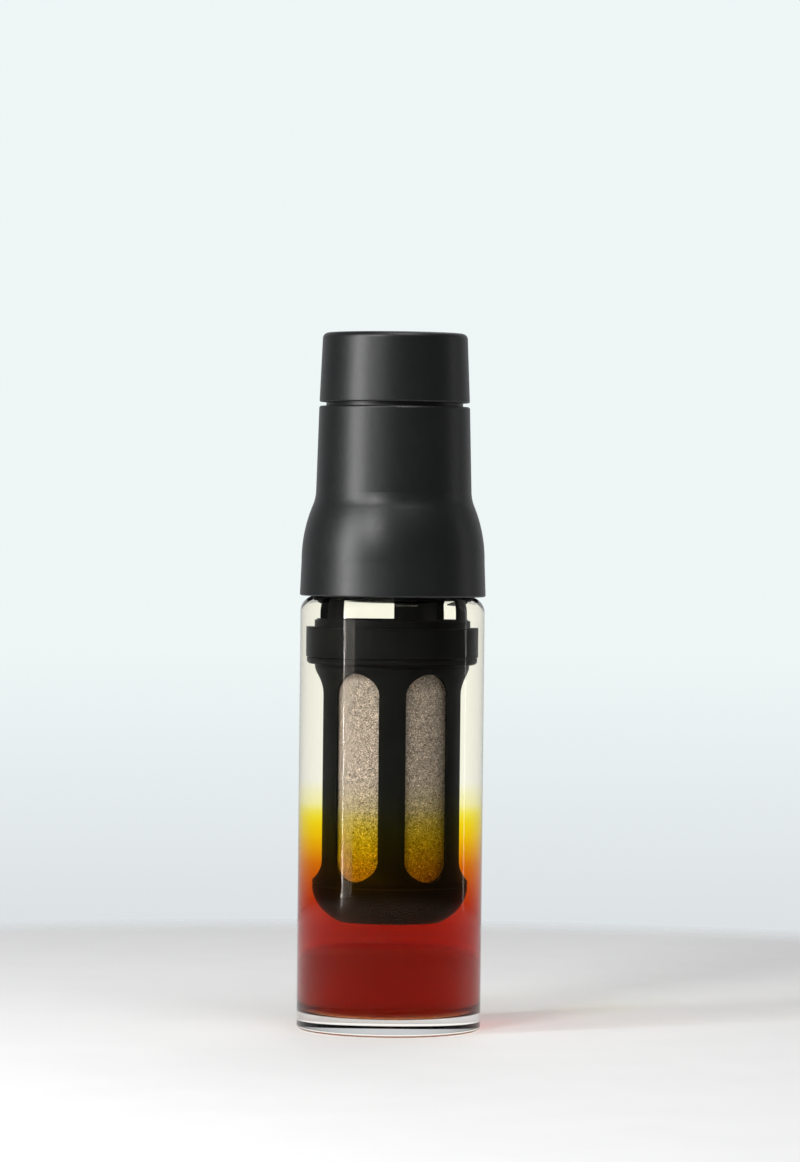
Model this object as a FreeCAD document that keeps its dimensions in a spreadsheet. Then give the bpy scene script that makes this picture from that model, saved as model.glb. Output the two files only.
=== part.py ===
import FreeCAD, Part
import math
import os

import Sketcher
from FreeCAD import Placement, Rotation, Vector

# Cold brew coffee maker: glass bottle, black collar and screw cap, and a long filter inside.
# Millimetres and degrees. +Z is up, the origin is the centre of the bottle's foot on the table,
# and the front of the object faces -Y.

SIZES = {
    # Glass bottle
    "bottle_radius": 35,
    "glass_wall": 3,
    "body_height": 158.6,
    "floor_height": 6.5,
    "floor_corner": 4.5,
    "foot_corner": 1.5,
    "foot_width": 5.5,
    "punt_height": 0.8,
    "shoulder_radius": 6,
    "neck_height": 19.4,
    # Threads
    "neck_lead": 20,
    "neck_starts": 4,
    "neck_sweep": 80,
    "neck_ridge": 1.2,
    "neck_ridge_root": 3.2,
    "neck_ridge_crest": 1.4,
    "neck_thread_offset": 5,
    "thread_clearance": 0.4,
    "thread_bury": 0.3,
    # Collar shell
    "collar_overhang": 0.3,
    "collar_height": 72,
    "collar_wall": 1.6,
    "collar_top_inset": 6.65,
    "collar_waist_inset": 5.75,
    "collar_waist_rise": 16.1,
    "collar_waist_curve": 16,
    "collar_crease_inset": 4.3,
    "collar_crease_rise": 10.3,
    "collar_shoulder_inset": 0.5,
    "collar_shoulder_drop": 10.3,
    "collar_shoulder_curve": 54,
    "collar_rim_corner": 0.7,
    "collar_deck_corner": 0.8,
    "collar_boss_inset": 2.65,
    "collar_boss_overlap": 0.6,
    # Collar liner
    "liner_wall": 1.5,
    "liner_rise": 1.6,
    "liner_flange": 1.6,
    "liner_plate": 2.4,
    "liner_chamfer": 1.2,
    "gasket_thickness": 1.5,
    "gasket_inset": 0.2,
    "shell_gap": 0.3,
    "slip_gap": 0.15,
    # Filter adapter
    "skirt_inset": 2.95,
    "skirt_wall": 1.6,
    "skirt_stop": 2.2,
    "skirt_stop_height": 1.4,
    "skirt_bead": 0.3,
    "skirt_bead_height": 1.2,
    "seal_width": 1,
    "seal_gap": 0.1,
    "skirt_window_drop": 2.3,
    "skirt_window_height": 6.6,
    "skirt_window_width": 18.6,
    "skirt_window_phase": 48,
    "adapter_flange": 0.6,
    "adapter_flange_height": 2.7,
    "adapter_flange_drop": 9.4,
    "ring_pass": 1.45,
    "ring_wall": 2.05,
    "ring_height": 11.4,
    "ring_roof": 1.8,
    "ring_corner": 0.5,
    # Basket
    "basket_inset": 0.6,
    "basket_wall": 1.4,
    "basket_lead": 10,
    "basket_starts": 3,
    "basket_sweep": 100,
    "basket_ridge": 0.9,
    "basket_ridge_root": 1.7,
    "basket_ridge_crest": 0.7,
    "basket_thread_offset": 2.4,
    "lip_inset": 0.25,
    "lip_gap": 0.2,
    "lip_height": 2.4,
    "lip_corner": 1.4,
    "throat_step": 1.4,
    "throat_drop": 3.8,
    "throat_flare": 9.9,
    "throat_curve": 36,
    "basket_length": 85.9,
    "basket_flare": 1.5,
    "basket_flare_height": 6.9,
    "basket_flare_curve": 17,
    "basket_hem": 1.4,
    "window_count": 5,
    "window_width": 16.3,
    "window_height": 78.4,
    "window_rise": 2,
    "window_phase": 37,
    "mesh_thickness": 0.4,
    "mesh_gap": 0.1,
    "mesh_margin": 1.6,
    "ledge": 0.5,
    # Basket base
    "base_seal_thickness": 0.6,
    "base_depth": 13.3,
    "base_flat_inset": 8.1,
    "base_curve": 15,
    "base_floor": 1.8,
    "spigot_height": 2,
    "spigot_wall": 1.5,
    "base_inner_drop": 3,
    "base_inner_inset": 5.05,
    "base_inner_curve": 11,
    # Pour spout
    "spout_inset": 8.15,
    "spout_wall": 1.8,
    "spout_foot_margin": 0.4,
    "spout_foot": 1.8,
    "spout_cone_wall": 2.9,
    "spout_cone_height": 24,
    "spout_mouth_rise": 19.4,
    "spout_ledge": 3.5,
    "cap_lead": 9,
    "cap_starts": 2,
    "cap_sweep": 270,
    "cap_ridge": 1.2,
    "cap_ridge_root": 2.8,
    "cap_ridge_crest": 1.2,
    "cap_thread_drop": 12,
    # Cap
    "cap_gap": 1.5,
    "cap_height": 26.3,
    "cap_inset": 0.1,
    "cap_taper": 1,
    "cap_wall": 1.8,
    "cap_top": 2.4,
    "cap_top_corner": 2.2,
    "cap_rim_corner": 0.6,
    "cap_liner_rise": 1,
    "cap_liner_disc": 2.4,
}


class Size:
    """A length or angle of the model: its value now and the formula that binds it to the sheet."""

    def __init__(self, value, formula):
        self.value = value
        self.formula = formula

    def combine(self, other, sign, swapped=False):
        if not isinstance(other, Size):
            other = Size(float(other), str(other))
        first, second = (other, self) if swapped else (self, other)
        value = {
            "+": lambda a, b: a + b,
            "-": lambda a, b: a - b,
            "*": lambda a, b: a * b,
            "/": lambda a, b: a / b,
        }[sign](first.value, second.value)
        return Size(value, "(%s %s %s)" % (first.formula, sign, second.formula))

    def __add__(self, other):
        return self.combine(other, "+")

    def __radd__(self, other):
        return self.combine(other, "+", swapped=True)

    def __sub__(self, other):
        return self.combine(other, "-")

    def __rsub__(self, other):
        return self.combine(other, "-", swapped=True)

    def __mul__(self, other):
        return self.combine(other, "*")

    def __truediv__(self, other):
        return self.combine(other, "/")


def make_sheet(doc):
    """The sheet of driving dimensions, and one Size for each of its cells."""
    sheet = doc.addObject("Spreadsheet::Sheet", "Sizes")
    for row, (name, value) in enumerate(SIZES.items(), start=1):
        sheet.set("A%d" % row, name)
        sheet.set("B%d" % row, str(value))
        sheet.setAlias("B%d" % row, name)
    doc.recompute()
    return {name: Size(float(getattr(sheet, name)), "Sizes." + name) for name in SIZES}


# Sketches and features

def new_body(name):
    body = doc.addObject("PartDesign::Body", name)
    body.Label = name
    return body


def new_sketch(body, name):
    """A sketch on the body's own XZ plane: its x is the radius, its y is the height."""
    sketch = body.newObject("Sketcher::SketchObject", name)
    plane = next(f for f in body.Origin.OriginFeatures if f.Role == "XZ_Plane")
    sketch.AttachmentSupport = [(plane, "")]
    sketch.MapMode = "FlatFace"
    return sketch


def arc_between(start, end, radius, turns_left):
    """The arc of a given radius from start to end, and whether it is drawn from its own end."""
    chord = end - start
    half = chord.Length / 2
    left = Vector(-chord.y, chord.x, 0).normalize()
    away = math.sqrt(max(radius * radius - half * half, 0))
    centre = (start + end) * 0.5 + left * (away if turns_left else -away)
    first, last = (start, end) if turns_left else (end, start)
    first_angle = math.atan2(first.y - centre.y, first.x - centre.x)
    last_angle = math.atan2(last.y - centre.y, last.x - centre.x)
    if last_angle < first_angle:
        last_angle += 2 * math.pi
    circle = Part.Circle(centre, Vector(0, 0, 1), radius)
    return Part.ArcOfCircle(circle, first_angle, last_angle), not turns_left


def bind(sketch, kind, where, length):
    """Adds a dimension of the given kind, bound to the sheet."""
    index = sketch.addConstraint(Sketcher.Constraint(kind, *where, length.value))
    sketch.setExpression("Constraints[%d]" % index, length.formula)


def draw_outline(sketch, points):
    """Draws a closed outline.

    Each point is (x, y), or (x, y, radius, side) where an arc runs on to the next point and
    side says whether it turns left or right. A plain 0 keeps the point on the sketch's axis.
    """
    places = [Vector(*(c.value if isinstance(c, Size) else c for c in p[:2]), 0) for p in points]
    ends = []
    for i, point in enumerate(points):
        start, end = places[i], places[(i + 1) % len(points)]
        if len(point) == 2:
            geometry = sketch.addGeometry(Part.LineSegment(start, end), False)
            ends.append((geometry, 1, 2))
            continue
        radius, side = point[2:]
        arc, reversed_arc = arc_between(start, end, radius.value, side == "left")
        geometry = sketch.addGeometry(arc, False)
        ends.append((geometry, 2, 1) if reversed_arc else (geometry, 1, 2))
    for this, following in zip(ends, ends[1:] + ends[:1]):
        joint = (this[0], this[2], following[0], following[1])
        sketch.addConstraint(Sketcher.Constraint("Coincident", *joint))
    for point, (geometry, start, _) in zip(points, ends):
        for coordinate, kind, axis in zip(point[:2], ("DistanceX", "DistanceY"), (-2, -1)):
            if isinstance(coordinate, Size):
                bind(sketch, kind, (-1, 1, geometry, start), coordinate)
            else:
                sketch.addConstraint(Sketcher.Constraint("PointOnObject", geometry, start, axis))
        if len(point) > 2:
            bind(sketch, "Radius", (geometry,), point[2])


def revolve(body, name, points):
    """A solid of revolution about Z from an outline of radii and heights."""
    sketch = new_sketch(body, name + "_outline")
    draw_outline(sketch, points)
    solid = body.newObject("PartDesign::Revolution", name + "_turned")
    solid.Profile = sketch
    solid.ReferenceAxis = (sketch, ["V_Axis"])
    solid.Angle = 360
    return solid


def repeat_around(body, name, feature, sketch, count):
    """Repeats a feature evenly about the body's Z axis."""
    pattern = body.newObject("PartDesign::PolarPattern", name)
    pattern.Originals = [feature]
    pattern.Axis = (sketch, ["V_Axis"])
    pattern.Angle = 360
    pattern.setExpression("Occurrences", count.formula)
    body.Tip = pattern
    return pattern


def add_thread(body, name, wall, crest, start, kind, outside):
    """Helical ridges of one kind of thread, standing on a wall and reaching to a crest radius."""
    root = wall - size["thread_bury"] if outside else wall + size["thread_bury"]
    half_root = size[kind + "_ridge_root"] / 2
    half_crest = size[kind + "_ridge_crest"] / 2
    section = [
        (root, start - half_root),
        (crest, start - half_crest),
        (crest, start + half_crest),
        (root, start + half_root),
    ]
    sketch = new_sketch(body, name + "_section")
    draw_outline(sketch, section)
    ridge = body.newObject("PartDesign::AdditiveHelix", name + "_ridge")
    ridge.Profile = sketch
    ridge.ReferenceAxis = (sketch, ["V_Axis"])
    ridge.Mode = "pitch-turns-angle"
    ridge.setExpression("Pitch", size[kind + "_lead"].formula)
    ridge.setExpression("Turns", (size[kind + "_sweep"] / 360).formula)
    return repeat_around(body, name, ridge, sketch, size[kind + "_starts"])


def half_pitch(kind):
    """Half the height between neighbouring ridges: a nut's ridges lie this far above a screw's."""
    return size[kind + "_lead"] / size[kind + "_starts"] / 2


def cut_windows(body, name, outline, reach, phase, count):
    """Cuts the same window through one side of a wall, and repeats it about Z."""
    sketch = new_sketch(body, name + "_outline")
    sketch.AttachmentOffset = Placement(Vector(), Rotation(Vector(0, 1, 0), phase.value))
    sketch.setExpression("AttachmentOffset.Rotation.Angle", phase.formula)
    draw_outline(sketch, outline)
    window = body.newObject("PartDesign::Pocket", name + "_window")
    window.Profile = sketch
    window.Reversed = True
    window.setExpression("Length", reach.formula)
    return repeat_around(body, name, window, sketch, count)


def ring(name, inner, outer, low, high):
    """A plain flat ring in a body of its own."""
    body = new_body(name)
    revolve(body, name, [(inner, low), (outer, low), (outer, high), (inner, high)])
    return body


# Pieces

def make_glass_bottle():
    """Straight bottle with a thick floor, a hollow foot, a round shoulder and a threaded neck."""
    body = new_body("glass_bottle")
    outer = size["bottle_radius"]
    wall = size["glass_wall"]
    neck = neck_radius
    shoulder = size["shoulder_radius"]
    inner_shoulder = shoulder - wall
    foot = size["foot_corner"]
    corner = size["floor_corner"]
    floor = size["floor_height"]
    top = size["body_height"]
    punt = size["punt_height"]
    punt_radius = outer - foot - size["foot_width"]
    punt_curve = (punt_radius * punt_radius + punt * punt) / (punt * 2)
    revolve(body, "glass_bottle", [
        (0, punt, punt_curve, "right"),
        (punt_radius, 0),
        (outer - foot, 0, foot, "left"),
        (outer, foot),
        (outer, top, shoulder, "left"),
        (neck, neck_foot),
        (neck, rim),
        (neck - wall, rim),
        (neck - wall, top + shoulder, wall, "left"),
        (neck, top + inner_shoulder, inner_shoulder, "right"),
        (outer - wall, top),
        (outer - wall, floor + corner, corner, "right"),
        (outer - wall - corner, floor),
        (0, floor),
    ])
    start = neck_foot + size["neck_thread_offset"]
    add_thread(body, "neck_thread", neck, neck + size["neck_ridge"], start, "neck", True)
    return body


def make_collar_shell():
    """Outer skin of the collar: a slim neck, a flare to the bottle's width and a raised deck."""
    body = new_body("collar_shell")
    wall = size["collar_wall"]
    rim_corner = size["collar_rim_corner"]
    deck_corner = size["collar_deck_corner"]
    top = collar_neck
    curves = [
        (collar_rim - size["collar_shoulder_inset"], plate_top - size["collar_shoulder_drop"],
         size["collar_shoulder_curve"], "left"),
        (collar_rim - size["collar_crease_inset"], plate_top + size["collar_crease_rise"],
         size["collar_waist_curve"], "right"),
        (collar_rim - size["collar_waist_inset"], plate_top + size["collar_waist_rise"]),
    ]
    shoulder, crease, waist = curves
    inside = [
        (waist[0] - wall, waist[1], size["collar_waist_curve"], "left"),
        (crease[0] - wall, crease[1], size["collar_shoulder_curve"], "right"),
        (shoulder[0] - wall, shoulder[1]),
    ]
    hole = spout_radius + size["slip_gap"]
    boss = top - size["collar_boss_inset"]
    revolve(body, "collar_shell", [
        (collar_rim - wall, neck_foot),
        (collar_rim - rim_corner, neck_foot, rim_corner, "left"),
        (collar_rim, neck_foot + rim_corner),
    ] + curves + [
        (top, collar_top - deck_corner, deck_corner, "left"),
        (top - deck_corner, collar_top),
        (boss, collar_top),
        (boss, boss_top),
        (hole, boss_top),
        (hole, boss_top - wall),
        (boss - wall, boss_top - wall),
        (boss - wall, collar_top - wall),
        (top - wall, collar_top - wall),
    ] + inside)
    return body


def make_collar_liner():
    """Threaded insert that grips the glass neck, closed on top by a plate with a hole."""
    body = new_body("collar_liner")
    bore = neck_bore
    wall = bore + size["liner_wall"]
    low = neck_foot + size["liner_rise"]
    flange = collar_rim - size["collar_wall"] - size["shell_gap"]
    revolve(body, "collar_liner", [
        (bore, low),
        (flange, low),
        (flange, low + size["liner_flange"]),
        (wall, low + size["liner_flange"]),
        (wall, plate_top - size["liner_chamfer"]),
        (wall - size["liner_chamfer"], plate_top),
        (plate_hole, plate_top),
        (plate_hole, plate_bottom),
        (bore, plate_bottom),
    ])
    start = neck_foot + size["neck_thread_offset"] + half_pitch("neck")
    crest = neck_radius + size["thread_clearance"]
    add_thread(body, "liner_thread", bore, crest, start, "neck", False)
    return body


def make_neck_gasket():
    """Flat seal on the rim of the glass neck."""
    inset = size["gasket_inset"]
    return ring("neck_gasket", neck_inner + inset, neck_radius - inset, rim, plate_bottom)


def make_filter_adapter():
    """Windowed tube that snaps into the liner and ends in a flange over the basket's ring."""
    body = new_body("filter_adapter")
    skirt = skirt_radius
    inner = skirt - size["skirt_wall"]
    bead = plate_hole + size["skirt_bead"]
    stop = skirt_stop
    flange = skirt + size["adapter_flange"]
    revolve(body, "filter_adapter", [
        (inner, ring_top),
        (flange, ring_top),
        (flange, flange_top),
        (skirt, flange_top),
        (skirt, plate_bottom - size["skirt_stop_height"]),
        (stop, plate_bottom - size["skirt_stop_height"]),
        (stop, plate_bottom),
        (skirt, plate_bottom),
        (skirt, plate_top),
        (bead, plate_top),
        (skirt, plate_top + size["skirt_bead_height"]),
        (inner, plate_top + size["skirt_bead_height"]),
    ])
    half = size["skirt_window_width"] / 2
    high = neck_foot - size["skirt_window_drop"]
    low = high - size["skirt_window_height"]
    box = [(0 - half, low), (half, low), (half, high), (0 - half, high)]
    phase = size["skirt_window_phase"]
    cut_windows(body, "skirt_windows", box, stop, phase, size["window_count"])
    return body


def make_adapter_ring():
    """Threaded ring under the adapter's flange: its roof closes the basket that screws in."""
    body = new_body("adapter_ring")
    outer = ring_radius
    corner = size["ring_corner"]
    revolve(body, "adapter_ring", [
        (0, ring_ceiling),
        (ring_bore, ring_ceiling),
        (ring_bore, ring_bottom),
        (outer - corner, ring_bottom, corner, "left"),
        (outer, ring_bottom + corner),
        (outer, ring_top),
        (0, ring_top),
    ])
    start = basket_thread_start + half_pitch("basket")
    crest = basket_thread_radius + size["thread_clearance"]
    add_thread(body, "ring_thread", ring_bore, crest, start, "basket", False)
    return body


def make_adapter_seal():
    """Ring that fills the gap between the adapter's skirt and the hole in the liner's plate."""
    gap = size["seal_gap"]
    return ring("adapter_seal", skirt_radius + gap, plate_hole - gap,
                plate_bottom + gap, plate_top - gap)


def make_basket_gasket():
    """Flat seal between the basket's rim and the adapter ring's roof."""
    inner = basket_mouth + size["gasket_inset"]
    return ring("basket_gasket", inner, basket_thread_radius, basket_top, ring_ceiling)


def make_basket_frame():
    """Cage of the filter: threaded mouth, lip, throat and a tube with tall round-ended windows."""
    body = new_body("basket_frame")
    tube = basket_thread_radius
    straight = basket_radius
    lip = ring_radius - size["lip_inset"]
    corner = size["lip_corner"]
    lip_top = ring_bottom - size["lip_gap"]
    lip_bottom = lip_top - size["lip_height"]
    throat = ring_bottom - size["throat_drop"]
    throat_radius = straight + size["throat_step"]
    flare = flare_radius
    flare_start = basket_bottom + size["basket_hem"] + size["basket_flare_height"]
    revolve(body, "basket_frame", [
        (basket_bore, basket_bottom),
        (flare, basket_bottom),
        (flare, basket_bottom + size["basket_hem"], size["basket_flare_curve"], "right"),
        (straight, flare_start),
        (straight, throat - size["throat_flare"], size["throat_curve"], "right"),
        (throat_radius, throat),
        (throat_radius, lip_bottom),
        (lip - corner, lip_bottom, corner, "left"),
        (lip, lip_bottom + corner),
        (lip, lip_top),
        (tube, lip_top),
        (tube, basket_top),
        (basket_mouth, basket_top),
        (basket_mouth, mesh_top),
        (basket_bore, mesh_top),
    ])
    crest = tube + size["basket_ridge"]
    add_thread(body, "basket_thread", tube, crest, basket_thread_start, "basket", True)
    half = size["window_width"] / 2
    high = window_bottom + size["window_height"]
    stadium = [
        (0 - half, window_bottom + half, half, "left"),
        (0, window_bottom, half, "left"),
        (half, window_bottom + half),
        (half, high - half, half, "left"),
        (0, high, half, "left"),
        (0 - half, high - half),
    ]
    phase = size["window_phase"]
    cut_windows(body, "basket_windows", stadium, lip, phase, size["window_count"])
    return body


def make_mesh_screen():
    """Rolled tube of fine mesh that lines the frame behind its windows."""
    outer = basket_bore - size["mesh_gap"]
    inner = outer - size["mesh_thickness"]
    return ring("mesh_screen", inner, outer, spigot_top, mesh_top)


def make_base_seal():
    """Thin ring in the seam between the frame and the base."""
    inset = size["gasket_inset"]
    outer = flare_radius - inset
    return ring("base_seal", basket_bore + inset, outer, base_top, basket_bottom)


def make_basket_base():
    """Bowl that closes the basket, with a spigot that plugs into the frame."""
    body = new_body("basket_base")
    spigot = basket_bore - size["slip_gap"]
    inner = spigot - size["spigot_wall"]
    low = base_top - size["base_depth"]
    floor = low + size["base_floor"]
    revolve(body, "basket_base", [
        (0, low),
        (flare_radius - size["base_flat_inset"], low, size["base_curve"], "left"),
        (flare_radius, base_top),
        (spigot, base_top),
        (spigot, spigot_top),
        (inner, spigot_top),
        (inner, base_top - size["base_inner_drop"], size["base_inner_curve"], "right"),
        (inner - size["base_inner_inset"], floor),
        (0, floor),
    ])
    return body


def make_pour_spout():
    """Funnel that stands on the liner's plate and narrows to the threaded mouth under the cap."""
    body = new_body("pour_spout")
    tube = spout_radius
    wall = size["spout_wall"]
    foot = neck_bore + size["spout_foot_margin"]
    foot_top = plate_top + size["spout_foot"]
    cone_top = plate_top + size["spout_cone_height"]
    inner = skirt_stop + size["shell_gap"]
    cone = inner + size["spout_cone_wall"]
    ledge_top = boss_top - size["collar_wall"]
    revolve(body, "pour_spout", [
        (inner, plate_top),
        (foot, plate_top),
        (foot, foot_top),
        (cone, foot_top),
        (tube, cone_top),
        (tube, ledge_top - wall),
        (tube + size["spout_ledge"], ledge_top - wall),
        (tube + size["spout_ledge"], ledge_top),
        (tube, ledge_top),
        (tube, mouth),
        (tube - wall, mouth),
        (tube - wall, cone_top),
        (inner, foot_top + wall),
    ])
    crest = tube + size["cap_ridge"]
    start = mouth - size["cap_thread_drop"]
    add_thread(body, "spout_thread", tube, crest, start, "cap", True)
    return body


def make_cap_shell():
    """Outer skin of the screw cap, slightly wider at its rim than at its top."""
    body = new_body("cap_shell")
    wall = size["cap_wall"]
    top_corner = size["cap_top_corner"]
    rim_corner = size["cap_rim_corner"]
    outer = cap_radius
    top = outer - size["cap_taper"]
    revolve(body, "cap_shell", [
        (outer - wall, cap_bottom),
        (outer - rim_corner, cap_bottom, rim_corner, "left"),
        (outer, cap_bottom + rim_corner),
        (top, cap_peak - top_corner, top_corner, "left"),
        (top - top_corner, cap_peak),
        (0, cap_peak),
        (0, cap_ceiling),
        (top - wall, cap_ceiling),
    ])
    return body


def make_cap_liner():
    """Threaded insert that stands between the cap's ceiling and the mouth."""
    body = new_body("cap_liner")
    bore = cap_bore
    wall = bore + size["liner_wall"]
    low = cap_bottom + size["cap_liner_rise"]
    flange = cap_radius - size["cap_wall"] - size["shell_gap"]
    disc = mouth + size["gasket_thickness"]
    disc_top = disc + size["cap_liner_disc"]
    revolve(body, "cap_liner", [
        (0, disc),
        (bore, disc),
        (bore, low),
        (flange, low),
        (flange, low + size["liner_flange"]),
        (wall, low + size["liner_flange"]),
        (wall, cap_ceiling),
        (bore, cap_ceiling),
        (bore, disc_top),
        (0, disc_top),
    ])
    start = mouth - size["cap_thread_drop"] + half_pitch("cap")
    crest = spout_radius + size["thread_clearance"]
    add_thread(body, "cap_thread", bore, crest, start, "cap", False)
    return body


def make_cap_gasket():
    """Flat seal on the mouth, under the cap liner's disc."""
    inset = size["gasket_inset"]
    inner = spout_radius - size["spout_wall"] + inset
    return ring("cap_gasket", inner, spout_radius - inset, mouth,
                mouth + size["gasket_thickness"])


doc = FreeCAD.newDocument("cold_brew_coffee_maker")
size = make_sheet(doc)

# Heights that several pieces share, from the foot up
neck_foot = size["body_height"] + size["shoulder_radius"]
rim = neck_foot + size["neck_height"]
plate_bottom = rim + size["gasket_thickness"]
plate_top = plate_bottom + size["liner_plate"]
collar_top = neck_foot + size["collar_height"]
mouth = collar_top + size["spout_mouth_rise"]
cap_bottom = collar_top + size["cap_gap"]
boss_top = cap_bottom + size["collar_boss_overlap"]
cap_peak = cap_bottom + size["cap_height"]
cap_ceiling = cap_peak - size["cap_top"]
flange_top = neck_foot - size["adapter_flange_drop"]
ring_top = flange_top - size["adapter_flange_height"]
ring_ceiling = ring_top - size["ring_roof"]
ring_bottom = ring_top - size["ring_height"]
basket_top = ring_ceiling - size["gasket_thickness"]
basket_thread_start = ring_bottom + size["basket_thread_offset"]
basket_bottom = ring_bottom - size["basket_length"]
window_bottom = basket_bottom + size["window_rise"]
mesh_top = window_bottom + size["window_height"] + size["mesh_margin"]
base_top = basket_bottom - size["base_seal_thickness"]
spigot_top = base_top + size["spigot_height"]

# Radii that several pieces share, from the glass inwards
collar_rim = size["bottle_radius"] + size["collar_overhang"]
collar_neck = collar_rim - size["collar_top_inset"]
neck_radius = size["bottle_radius"] - size["shoulder_radius"]
neck_inner = neck_radius - size["glass_wall"]
neck_bore = neck_radius + size["neck_ridge"] + size["thread_clearance"]
ring_radius = neck_inner - size["ring_pass"]
ring_bore = ring_radius - size["ring_wall"]
basket_thread_radius = ring_bore - size["thread_clearance"] - size["basket_ridge"]
basket_radius = basket_thread_radius - size["basket_inset"]
basket_bore = basket_radius - size["basket_wall"]
basket_mouth = basket_bore - size["ledge"]
flare_radius = basket_radius + size["basket_flare"]
skirt_radius = ring_radius - size["skirt_inset"]
skirt_stop = skirt_radius + size["skirt_stop"]
plate_hole = skirt_radius + size["seal_width"]
spout_radius = collar_neck - size["spout_inset"]
cap_radius = collar_neck - size["cap_inset"]
cap_bore = spout_radius + size["cap_ridge"] + size["thread_clearance"]

pieces = [
    make_glass_bottle(),
    make_neck_gasket(),
    make_collar_shell(),
    make_collar_liner(),
    make_pour_spout(),
    make_filter_adapter(),
    make_adapter_ring(),
    make_adapter_seal(),
    make_basket_gasket(),
    make_basket_frame(),
    make_mesh_screen(),
    make_base_seal(),
    make_basket_base(),
    make_cap_shell(),
    make_cap_liner(),
    make_cap_gasket(),
]
doc.recompute()

# Every feature and every piece has to be whole before anything is written
for thing in doc.Objects:
    if "Invalid" in thing.State or "Error" in thing.State:
        raise RuntimeError("%s failed: %s" % (thing.Label, thing.State))
for piece in pieces:
    shape = piece.Shape
    if shape.isNull() or not shape.isValid() or len(shape.Solids) != 1:
        raise RuntimeError("%s is not one valid solid" % piece.Label)

os.makedirs("parts", exist_ok=True)
for piece in pieces:
    piece.Shape.exportStep("parts/%s.step" % piece.Label)
    print("%-16s %9.1f mm3" % (piece.Label, piece.Shape.Volume))
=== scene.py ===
import math

import bpy
from mathutils import Matrix, Vector


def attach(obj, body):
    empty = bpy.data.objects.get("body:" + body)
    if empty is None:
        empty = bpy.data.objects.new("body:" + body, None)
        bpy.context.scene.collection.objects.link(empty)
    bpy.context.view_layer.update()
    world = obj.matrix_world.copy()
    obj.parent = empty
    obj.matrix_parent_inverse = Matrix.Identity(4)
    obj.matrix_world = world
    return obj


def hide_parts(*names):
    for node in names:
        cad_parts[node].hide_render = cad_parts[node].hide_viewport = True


# Looks of the cold brew coffee maker. The bottle and the coffee are built in millimetres, which
# MM turns into metres. Materials, table, lamps and camera are given in metres and degrees.
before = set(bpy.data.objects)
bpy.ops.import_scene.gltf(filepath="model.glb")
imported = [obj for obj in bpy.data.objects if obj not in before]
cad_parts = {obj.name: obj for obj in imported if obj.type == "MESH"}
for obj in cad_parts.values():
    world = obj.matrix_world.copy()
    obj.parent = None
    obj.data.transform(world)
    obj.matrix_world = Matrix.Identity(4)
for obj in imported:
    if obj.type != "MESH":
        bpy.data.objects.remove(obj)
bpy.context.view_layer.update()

MM = 0.001
WHITE = (1.0, 1.0, 1.0)
WATER_IOR = 1.333
GLASS_IOR = 1.47

# Glass bottle
BOTTLE_RADIUS = 35.0
GLASS_WALL = 3.0
SHOULDER = 6.0
BODY_HEIGHT = 158.6
FLOOR_HEIGHT = 6.5
FLOOR_CORNER = 4.5
FOOT_CORNER = 1.5
FOOT_WIDTH = 5.5
PUNT_HEIGHT = 0.8
PUNT_RINGS = 8
RIM_HEIGHT = 184.0
RIM_CORNER = 0.7
NECK_RADIUS = BOTTLE_RADIUS - SHOULDER
NECK_FOOT = BODY_HEIGHT + SHOULDER

# Thread on the glass neck
RIDGE_REACH = 1.2
RIDGE_BURY = 0.3
RIDGE_ROOT = 3.2
RIDGE_CREST = 1.4
RIDGE_LEAD = 20.0
RIDGE_SWEEP = 80.0
RIDGE_STARTS = 4
RIDGE_STEPS = 48
RIDGE_START = NECK_FOOT + 5.0

# Coffee
LIQUID_OVERLAP = 0.1
LIQUID_LEVEL = 162.6

LATHE_STEPS = 256
ARC_STEPS = 10
SHARP_ANGLE = 35.0


# Meshes

def arc(centre_r, centre_z, radius, start, end, steps=ARC_STEPS):
    """Points of an arc in the plane of radius and height, with angles in degrees."""
    points = []
    for i in range(steps + 1):
        angle = math.radians(start + (end - start) * i / steps)
        points.append((centre_r + radius * math.cos(angle), centre_z + radius * math.sin(angle)))
    return points


def mesh_object(name, vertices, faces):
    """A smooth-shaded mesh object, sharp only where faces meet at a steep angle."""
    mesh = bpy.data.meshes.new(name)
    mesh.from_pydata(vertices, [], faces)
    mesh.shade_smooth()
    mesh.set_sharp_from_angle(angle=math.radians(SHARP_ANGLE))
    piece = bpy.data.objects.new(name, mesh)
    bpy.context.scene.collection.objects.link(piece)
    return piece


def lathe(profile):
    """Vertices and faces of a closed turned solid. Its profile starts and ends on the axis."""
    vertices = [(0.0, 0.0, profile[0][1] * MM)]
    for r, z in profile[1:-1]:
        for i in range(LATHE_STEPS):
            angle = 2 * math.pi * i / LATHE_STEPS
            vertices.append((r * MM * math.cos(angle), r * MM * math.sin(angle), z * MM))
    vertices.append((0.0, 0.0, profile[-1][1] * MM))
    last = len(vertices) - 1
    rings = len(profile) - 2
    faces = []
    for i in range(LATHE_STEPS):
        j = (i + 1) % LATHE_STEPS
        faces.append((0, 1 + j, 1 + i))
        for ring in range(rings - 1):
            low = 1 + ring * LATHE_STEPS
            high = low + LATHE_STEPS
            faces.append((low + i, low + j, high + j, high + i))
        top = 1 + (rings - 1) * LATHE_STEPS
        faces.append((top + i, top + j, last))
    return vertices, faces


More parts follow.
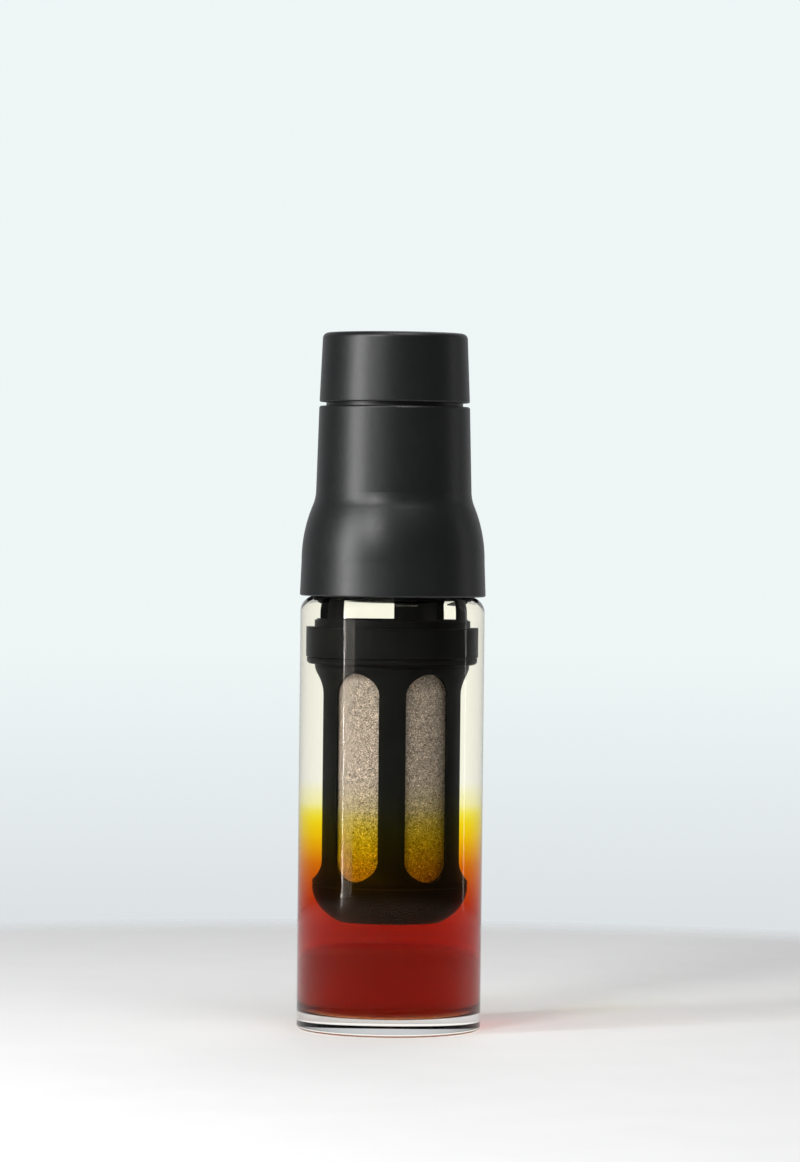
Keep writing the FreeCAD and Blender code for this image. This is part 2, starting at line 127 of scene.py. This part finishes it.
def ridge(turn):
    """Vertices and faces of one closed helical ridge on the neck, starting at the given angle."""
    root = NECK_RADIUS - RIDGE_BURY
    crest = NECK_RADIUS + RIDGE_REACH
    section = [(root, -RIDGE_ROOT / 2), (crest, -RIDGE_CREST / 2),
               (crest, RIDGE_CREST / 2), (root, RIDGE_ROOT / 2)]
    vertices = []
    for i in range(RIDGE_STEPS + 1):
        swept = RIDGE_SWEEP * i / RIDGE_STEPS
        angle = math.radians(turn + swept)
        lift = RIDGE_START + RIDGE_LEAD * swept / 360
        for r, z in section:
            place = (r * math.cos(angle), r * math.sin(angle), z + lift)
            vertices.append(tuple(c * MM for c in place))
    corners = len(section)
    faces = [(3, 2, 1, 0)]
    for i in range(RIDGE_STEPS):
        low = corners * i
        high = low + corners
        for k in range(corners):
            n = (k + 1) % corners
            faces.append((low + k, low + n, high + n, high + k))
    end = corners * RIDGE_STEPS
    faces.append((end, end + 1, end + 2, end + 3))
    return vertices, faces


def make_bottle():
    """The glass bottle on a fine lathe, so that it bends light without facets.

    It has the solid's sizes, but its rim is rounded, where the solid's is square.
    """
    punt_radius = BOTTLE_RADIUS - FOOT_CORNER - FOOT_WIDTH
    inner = BOTTLE_RADIUS - GLASS_WALL
    neck_inner = NECK_RADIUS - GLASS_WALL
    profile = []
    for i in range(PUNT_RINGS + 1):
        share = i / PUNT_RINGS
        profile.append((punt_radius * share, PUNT_HEIGHT * (1 - share * share)))
    profile += arc(BOTTLE_RADIUS - FOOT_CORNER, FOOT_CORNER, FOOT_CORNER, -90, 0)
    profile += arc(NECK_RADIUS, BODY_HEIGHT, SHOULDER, 0, 90, 2 * ARC_STEPS)
    profile += arc(NECK_RADIUS - RIM_CORNER, RIM_HEIGHT - RIM_CORNER, RIM_CORNER, 0, 90)
    profile += arc(neck_inner + RIM_CORNER, RIM_HEIGHT - RIM_CORNER, RIM_CORNER, 90, 180)
    profile += arc(NECK_RADIUS, NECK_FOOT, GLASS_WALL, 180, 270)
    profile += arc(NECK_RADIUS, BODY_HEIGHT, SHOULDER - GLASS_WALL, 90, 0)
    profile += arc(inner - FLOOR_CORNER, FLOOR_HEIGHT + FLOOR_CORNER, FLOOR_CORNER, 0, -90)
    profile += [(0.0, FLOOR_HEIGHT)]
    vertices, faces = lathe(profile)
    for start in range(RIDGE_STARTS):
        more, sides = ridge(360 * start / RIDGE_STARTS)
        base = len(vertices)
        vertices += more
        faces += [tuple(base + i for i in side) for side in sides]
    return mesh_object("bottle_glass", vertices, faces)


def make_coffee():
    """The drink: a closed body that overlaps the glass a little, so no air lies between them."""
    wall = GLASS_WALL - LIQUID_OVERLAP
    inner = BOTTLE_RADIUS - wall
    corner = FLOOR_CORNER + LIQUID_OVERLAP
    profile = [(0.0, FLOOR_HEIGHT - LIQUID_OVERLAP)]
    profile += arc(inner - corner, FLOOR_HEIGHT + FLOOR_CORNER, corner, -90, 0)
    profile += arc(NECK_RADIUS, BODY_HEIGHT, SHOULDER - wall, 0, 90)
    drop = NECK_FOOT - LIQUID_LEVEL
    end = 180 + math.degrees(math.asin(drop / wall))
    profile += arc(NECK_RADIUS, NECK_FOOT, wall, 270, end)
    profile += [(0.0, LIQUID_LEVEL)]
    vertices, faces = lathe(profile)
    return mesh_object("coffee", vertices, faces)


# Nodes

class NodeTree:
    """A node tree with short ways to add and join nodes."""

    def __init__(self, tree):
        self.nodes = tree.nodes
        self.links = tree.links

    def add(self, kind, **values):
        """A new node. Values are its settings or its inputs, with _ in the place of a space."""
        node = self.nodes.new(kind)
        for key, value in values.items():
            if hasattr(node, key):
                setattr(node, key, value)
            else:
                node.inputs[key.replace("_", " ")].default_value = value
        return node

    def join(self, source, socket):
        self.links.new(source, socket)

    def split(self, vector):
        """The X, Y and Z outputs of a vector."""
        node = self.add("ShaderNodeSeparateXYZ")
        self.join(vector, node.inputs["Vector"])
        return node.outputs

    def ramp(self, source, stops):
        """A colour for a value from 0 to 1, by (value, colour) stops."""
        node = self.add("ShaderNodeValToRGB")
        elements = node.color_ramp.elements
        while len(elements) < len(stops):
            elements.new(0.5)
        for element, (at, colour) in zip(elements, stops):
            element.position = at
            element.color = (*colour, 1.0)
        self.join(source, node.inputs["Fac"])
        return node.outputs["Color"]

    def spread(self, source, low, high, from_low=0.0, from_high=1.0):
        """A value moved from one range to another, and held at the ends."""
        node = self.add("ShaderNodeMapRange")
        self.join(source, node.inputs["Value"])
        names = ("From Min", "From Max", "To Min", "To Max")
        for name, value in zip(names, (from_low, from_high, low, high)):
            node.inputs[name].default_value = value
        return node.outputs["Result"]

    def maths(self, operation, *values, clamp=False):
        """The result of an operation on values, each a number or another node's output."""
        node = self.add("ShaderNodeMath", operation=operation, use_clamp=clamp)
        for socket, value in zip(node.inputs, values):
            if isinstance(value, float):
                socket.default_value = value
            else:
                self.join(value, socket)
        return node.outputs["Value"]

    def mix(self, share, first, second):
        """The first shader where the share is 0, the second where it is 1."""
        node = self.add("ShaderNodeMixShader")
        self.join(share, node.inputs["Fac"])
        self.join(first, node.inputs[1])
        self.join(second, node.inputs[2])
        return node.outputs["Shader"]


class Material(NodeTree):
    """A node material with one Principled shader."""

    def __init__(self, name):
        self.data = bpy.data.materials.new(name)
        self.data.use_nodes = True
        super().__init__(self.data.node_tree)
        self.shader = self.nodes["Principled BSDF"]
        self.output = self.nodes["Material Output"]

    def set(self, **values):
        """Fixed values for the shader's inputs, with _ in the place of a space."""
        for key, value in values.items():
            self.shader.inputs[key.replace("_", " ")].default_value = value

    def drive(self, **sources):
        """Outputs of other nodes for the shader's inputs, with _ in the place of a space."""
        for key, source in sources.items():
            self.join(source, self.shader.inputs[key.replace("_", " ")])

    def blend(self, share, other):
        """Shows another shader in the place of the Principled one where the share is 1."""
        mixed = self.mix(share, self.shader.outputs["BSDF"], other.outputs["BSDF"])
        self.join(mixed, self.output.inputs["Surface"])

    def place(self):
        """Position on the object, in metres."""
        return self.add("ShaderNodeTexCoord").outputs["Object"]

    def noise(self, place, scale, detail=2.0, distortion=0.0):
        node = self.add("ShaderNodeTexNoise", Scale=scale, Detail=detail, Distortion=distortion)
        self.join(place, node.inputs["Vector"])
        return node.outputs["Fac"]

    def bump(self, height, strength, distance, under=None):
        node = self.add("ShaderNodeBump", Strength=strength, Distance=distance)
        self.join(height, node.inputs["Height"])
        if under is not None:
            self.join(under, node.inputs["Normal"])
        return node.outputs["Normal"]


# Materials

def grained_plastic(name, dark, light, roughness, grain_scale, grain_depth, gloss_level):
    """Moulded black plastic: fine spark-eroded grain and a faint cloudiness in colour and gloss."""
    m = Material(name)
    place = m.place()
    low, high = roughness
    cloud = m.noise(place, scale=90.0, detail=4.0)
    gloss = m.noise(place, scale=700.0, detail=3.0)
    grain = m.noise(place, scale=grain_scale, detail=3.0)
    m.drive(Base_Color=m.ramp(cloud, [(0.35, dark), (0.7, light)]),
            Roughness=m.spread(gloss, low, high, from_low=0.3, from_high=0.7),
            Normal=m.bump(grain, strength=0.5, distance=grain_depth))
    m.set(Specular_IOR_Level=gloss_level)
    return m.data


def seal_rubber(dark=(0.006, 0.006, 0.006), light=(0.010, 0.010, 0.010)):
    """Soft dark silicone with a dusty bloom."""
    m = Material("seal_rubber")
    place = m.place()
    bloom = m.noise(place, scale=300.0, detail=4.0)
    skin = m.noise(place, scale=2500.0)
    m.drive(Base_Color=m.ramp(bloom, [(0.3, dark), (0.75, light)]),
            Roughness=m.spread(bloom, low=0.62, high=0.8),
            Normal=m.bump(skin, strength=0.4, distance=0.00003))
    m.set(Specular_IOR_Level=0.1)
    return m.data


# Mesh steel, as painted colour: painted shade where the gaps are, the wire, and painted glints at
# the points where it glitters
MESH_GAP_SHADE_AND_GLINTS = [(0.36, (0.10, 0.078, 0.058)), (0.50, (0.36, 0.285, 0.23)), (0.64, (1.0, 0.84, 0.70))]


def mesh_steel():
    """Fine woven steel mesh: wires too thin to see one by one, so they glitter in short worms. The
    glints and the shade in the gaps are painted into its colour.
    """
    m = Material("mesh_steel")
    place = m.place()
    worms = m.noise(place, scale=1500.0, detail=1.5, distortion=2.6)
    fine = m.noise(place, scale=3600.0, detail=1.0, distortion=0.6)
    relief = m.bump(worms, strength=1.0, distance=0.0006)
    # Base colour with painted shade in the gaps and painted glints in short worms
    m.drive(Base_Color=m.ramp(worms, MESH_GAP_SHADE_AND_GLINTS),
            Roughness=m.spread(fine, low=0.28, high=0.55, from_low=0.3, from_high=0.7),
            Normal=m.bump(fine, strength=0.7, distance=0.00022, under=relief))
    m.set(Metallic=0.85)
    return m.data


def let_lamps_through(m, tint):
    """Shadow rays pass straight through, so that what stands inside is lit."""
    clear = m.add("ShaderNodeBsdfTransparent", Color=(*tint, 1.0))
    m.blend(m.add("ShaderNodeLightPath").outputs["Is Shadow Ray"], clear)
    return clear


# Glass and coffee mirror weakly, so that the filter inside stays dark
GLASS_TINT = (0.998, 1.0, 0.995)
GLASS_MIRROR = (0.20, 0.18, 0.16)
GLASS_SHADOW = (0.96, 0.97, 0.965)
COFFEE_MIRROR = (0.1, 0.1, 0.1)


def bottle_glass():
    """Clear glass with the slight waviness of a blown wall. Lamps shine through it."""
    m = Material("bottle_glass")
    stretch = m.add("ShaderNodeMapping", Scale=(1.0, 1.0, 0.25))
    m.join(m.place(), stretch.inputs["Vector"])
    waves = m.noise(stretch.outputs["Vector"], scale=45.0, detail=1.0)
    m.drive(Normal=m.bump(waves, strength=0.12, distance=0.0006))
    m.set(Base_Color=(*GLASS_TINT, 1.0), Roughness=0.0, IOR=GLASS_IOR,
          Transmission_Weight=1.0, Specular_Tint=(*GLASS_MIRROR, 1.0))
    let_lamps_through(m, GLASS_SHADOW)
    return m.data


# Strength of the brew, full at BREW_LOW and clear from BREW_HIGH up, as (share of the way up,
# strength) stops. What follows goes by strength: light swallowed per metre at full strength, in
# red, green and blue, the tint of what passes, and the colour of the coffee's shadow.
BREW_LOW = 38.0
BREW_HIGH = 94.0
BREW_STRENGTH = [(0.0, 1.0), (0.125, 0.82), (0.232, 0.62), (0.339, 0.47), (0.434, 0.36),
                 (0.536, 0.20), (0.638, 0.10), (0.741, 0.052), (0.839, 0.0106), (1.0, 0.0)]
CLEAR_STRENGTH = 0.0015
FULL_ABSORPTION = (18.0, 85.0, 1400.0)
BREW_TINT = [(0.0, WHITE), (0.1, (1.0, 0.87, 0.50)), (1.0, (0.74, 0.28, 0.10))]
BREW_SHADOW = [(0.0, WHITE), (0.6, (0.65, 0.9, 0.9))]
VOLUME_STEP_RATE = 0.12


def coffee():
    """Water that darkens to red-brown coffee towards the bottom, by depth of colour."""
    m = Material("coffee")
    m.set(Roughness=0.0, IOR=WATER_IOR, Transmission_Weight=1.0,
          Specular_Tint=(*COFFEE_MIRROR, 1.0))
    clear = let_lamps_through(m, WHITE)
    height = m.split(m.place())["Z"]
    share = m.spread(height, 0.0, 1.0, BREW_LOW * MM, BREW_HIGH * MM)
    strength = m.ramp(share, [(at, (level,) * 3) for at, level in BREW_STRENGTH])
    m.drive(Base_Color=m.ramp(strength, BREW_TINT))
    m.join(m.ramp(strength, BREW_SHADOW), clear.inputs["Color"])
    strongest = max(FULL_ABSORPTION)
    keep = [1 - part / strongest for part in FULL_ABSORPTION]
    absorb = m.add("ShaderNodeVolumeAbsorption", Color=(*keep, 1.0))
    density = m.maths("MULTIPLY_ADD", strength, strongest, strongest * CLEAR_STRENGTH)
    m.join(density, absorb.inputs["Density"])
    m.join(absorb.outputs["Volume"], m.output.inputs["Volume"])
    m.data.cycles.volume_step_rate = VOLUME_STEP_RATE
    return m.data


# Table: a round top that fades out at its edge
TABLE_RADIUS = 0.50
TABLE_FADE = 0.07
TABLE_DROP = 0.02 * MM
TABLE_STEPS = 96
TABLE_COLOURS = [(0.3, (0.89, 0.89, 0.89)), (0.7, (0.91, 0.91, 0.91))]


def studio_floor():
    """A pale table that fades out at its edge, and still takes the object's shadow."""
    m = Material("table_top")
    place = m.place()
    m.drive(Base_Color=m.ramp(m.noise(place, scale=30.0, detail=3.0), TABLE_COLOURS))
    m.set(Roughness=0.7, Specular_IOR_Level=0.2)
    length = m.add("ShaderNodeVectorMath", operation="LENGTH")
    m.join(place, length.inputs[0])
    fade = m.spread(length.outputs["Value"], 0.0, 1.0, TABLE_RADIUS - TABLE_FADE, TABLE_RADIUS)
    m.blend(fade, m.add("ShaderNodeBsdfTransparent"))
    return m.data


def make_table():
    """A flat disc just under the bottle's foot."""
    rim = []
    for i in range(TABLE_STEPS):
        angle = 2 * math.pi * i / TABLE_STEPS
        rim.append((TABLE_RADIUS * math.cos(angle), TABLE_RADIUS * math.sin(angle), -TABLE_DROP))
    table = mesh_object("table_top", rim, [tuple(range(TABLE_STEPS))])
    table.data.materials.append(studio_floor())


# What the surroundings look like, as (direction, colour) stops. The wall seen directly turns
# pale below the table's edge, the wall seen through the glass is warmer, and the room that
# gives light and reflections is bright only at the back.
WALL = [(-0.10, (0.90, 0.905, 0.91)), (-0.088, (0.71, 0.75, 0.77)), (-0.03, (0.86, 0.92, 0.92))]
BENT_WALL = [(-0.7, (1.0, 0.985, 0.92)), (0.7, (0.97, 0.955, 0.90))]
ROOM = [(0.45, (0.10, 0.10, 0.10)), (1.0, (0.60, 0.61, 0.62))]


def make_world():
    """A pale wall for what is seen directly or straight through glass, and a room for light."""
    world = bpy.data.worlds.new("studio")
    bpy.context.scene.world = world
    world.use_nodes = True
    tree = NodeTree(world.node_tree)
    direction = tree.split(tree.add("ShaderNodeTexCoord").outputs["Generated"])

    def shaded(axis, stops):
        """A background that runs through colours along an axis of direction."""
        low, high = stops[0][0], stops[-1][0]
        share = tree.spread(direction[axis], 0.0, 1.0, low, high)
        shares = [((at - low) / (high - low), colour) for at, colour in stops]
        background = tree.add("ShaderNodeBackground")
        tree.join(tree.ramp(share, shares), background.inputs["Color"])
        return background.outputs["Background"]

    path = tree.add("ShaderNodeLightPath").outputs
    bounced = tree.maths("ADD", path["Glossy Depth"], path["Diffuse Depth"], clamp=True)
    straight = tree.maths("SUBTRACT", 1.0, bounced, clamp=True)
    through = tree.maths("MULTIPLY", path["Is Transmission Ray"], straight, clamp=True)
    lit = tree.mix(through, shaded("Y", ROOM), shaded("X", BENT_WALL))
    surface = tree.mix(path["Is Camera Ray"], lit, shaded("Z", WALL))
    tree.join(surface, tree.nodes["World Output"].inputs["Surface"])
    tree.nodes.remove(tree.nodes["Background"])


# Lamps: how far round from the front (degrees, + to the right), height above the table and
# distance from the axis in metres, width and height of the panel in metres, and watts
LAMPS = {
    "key": (-30.0, 0.95, 1.50, 0.40, 0.40, 11.0),
    "left_panel": (-54.0, 0.35, 1.00, 0.26, 0.90, 4.5),
    "left_streak": (-61.0, 0.30, 1.00, 0.035, 0.80, 4.5),
    "right_strip": (104.0, 0.25, 1.10, 0.05, 0.90, 0.5),
    "top_fill": (22.0, 1.60, 0.60, 0.80, 0.80, 10.0),
    "back_fill": (165.0, 1.50, 0.95, 0.80, 0.80, 3.5),
}
AIM_HEIGHT = 0.13


def make_lamps():
    """Panels that light and are mirrored, but are seen neither directly nor through the glass."""
    for name, (around, height, distance, width, tall, watts) in LAMPS.items():
        lamp = bpy.data.lights.new(name, "AREA")
        lamp.shape = "RECTANGLE"
        lamp.size = width
        lamp.size_y = tall
        lamp.energy = watts
        holder = bpy.data.objects.new(name, lamp)
        angle = math.radians(around)
        holder.location = (distance * math.sin(angle), -distance * math.cos(angle), height)
        aim = Vector((0.0, 0.0, AIM_HEIGHT)) - Vector(holder.location)
        holder.rotation_euler = aim.to_track_quat("-Z", "Y").to_euler()
        holder.visible_camera = False
        holder.visible_transmission = False
        bpy.context.scene.collection.objects.link(holder)


# Camera, from the photograph: an eye-level long lens. Lengths in metres, turns in degrees, the
# image's height and the lens in pixels, and the sensor in millimetres.
IMAGE_HEIGHT = 1162
FOCAL_PIXELS = 5000.0
SENSOR_TALL = 36.0
CAMERA_DISTANCE = 1.90
CAMERA_RIGHT = 0.0027
EYE_HEIGHT = 0.2012
PITCH_DOWN = 0.93
ROLL = 0.6


def make_camera():
    data = bpy.data.cameras.new("camera")
    data.sensor_fit = "VERTICAL"
    data.sensor_height = SENSOR_TALL
    data.lens = SENSOR_TALL * FOCAL_PIXELS / IMAGE_HEIGHT
    camera = bpy.data.objects.new("camera", data)
    turn = Matrix.Rotation(math.radians(90 - PITCH_DOWN), 4, "X")
    roll = Matrix.Rotation(math.radians(ROLL), 4, "Z")
    place = Matrix.Translation((CAMERA_RIGHT, -CAMERA_DISTANCE, EYE_HEIGHT))
    camera.matrix_world = place @ turn @ roll
    bpy.context.scene.collection.objects.link(camera)
    bpy.context.scene.camera = camera


# The object

def dress(nodes, material):
    """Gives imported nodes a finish. Their shapes stay as they are."""
    for name in nodes:
        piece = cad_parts[name]
        if piece.material_slots:
            for slot in piece.material_slots:
                slot.material = material
        else:
            piece.data.materials.append(material)


satin = grained_plastic("satin_black_plastic", dark=(0.0055, 0.0062, 0.0064),
                        light=(0.0075, 0.0082, 0.0084), roughness=(0.36, 0.42),
                        grain_scale=3800.0, grain_depth=0.00006, gloss_level=0.52)
inner = grained_plastic("inner_black_plastic", dark=(0.007, 0.007, 0.007),
                        light=(0.010, 0.010, 0.010), roughness=(0.35, 0.45),
                        grain_scale=2500.0, grain_depth=0.00003, gloss_level=0.3)
filter_black = grained_plastic("filter_black_plastic", dark=(0.0030, 0.0030, 0.0026),
                               light=(0.0045, 0.0045, 0.0038), roughness=(0.34, 0.42),
                               grain_scale=2500.0, grain_depth=0.00001, gloss_level=0.05)
dress(["collar_shell", "cap_shell"], satin)
dress(["collar_liner", "pour_spout", "cap_liner"], inner)
dress(["filter_adapter", "adapter_ring", "basket_frame", "basket_base"], filter_black)
dress(["neck_gasket", "adapter_seal", "basket_gasket", "base_seal", "cap_gasket"], seal_rubber())
dress(["mesh_screen"], mesh_steel())

bottle = make_bottle()
bottle.data.materials.append(bottle_glass())
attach(bottle, "bottle")
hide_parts("glass_bottle")

drink = make_coffee()
drink.data.materials.append(coffee())
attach(drink, "bottle")

make_table()
make_world()
make_lamps()
make_camera()
bpy.context.scene.view_settings.view_transform = "Standard"
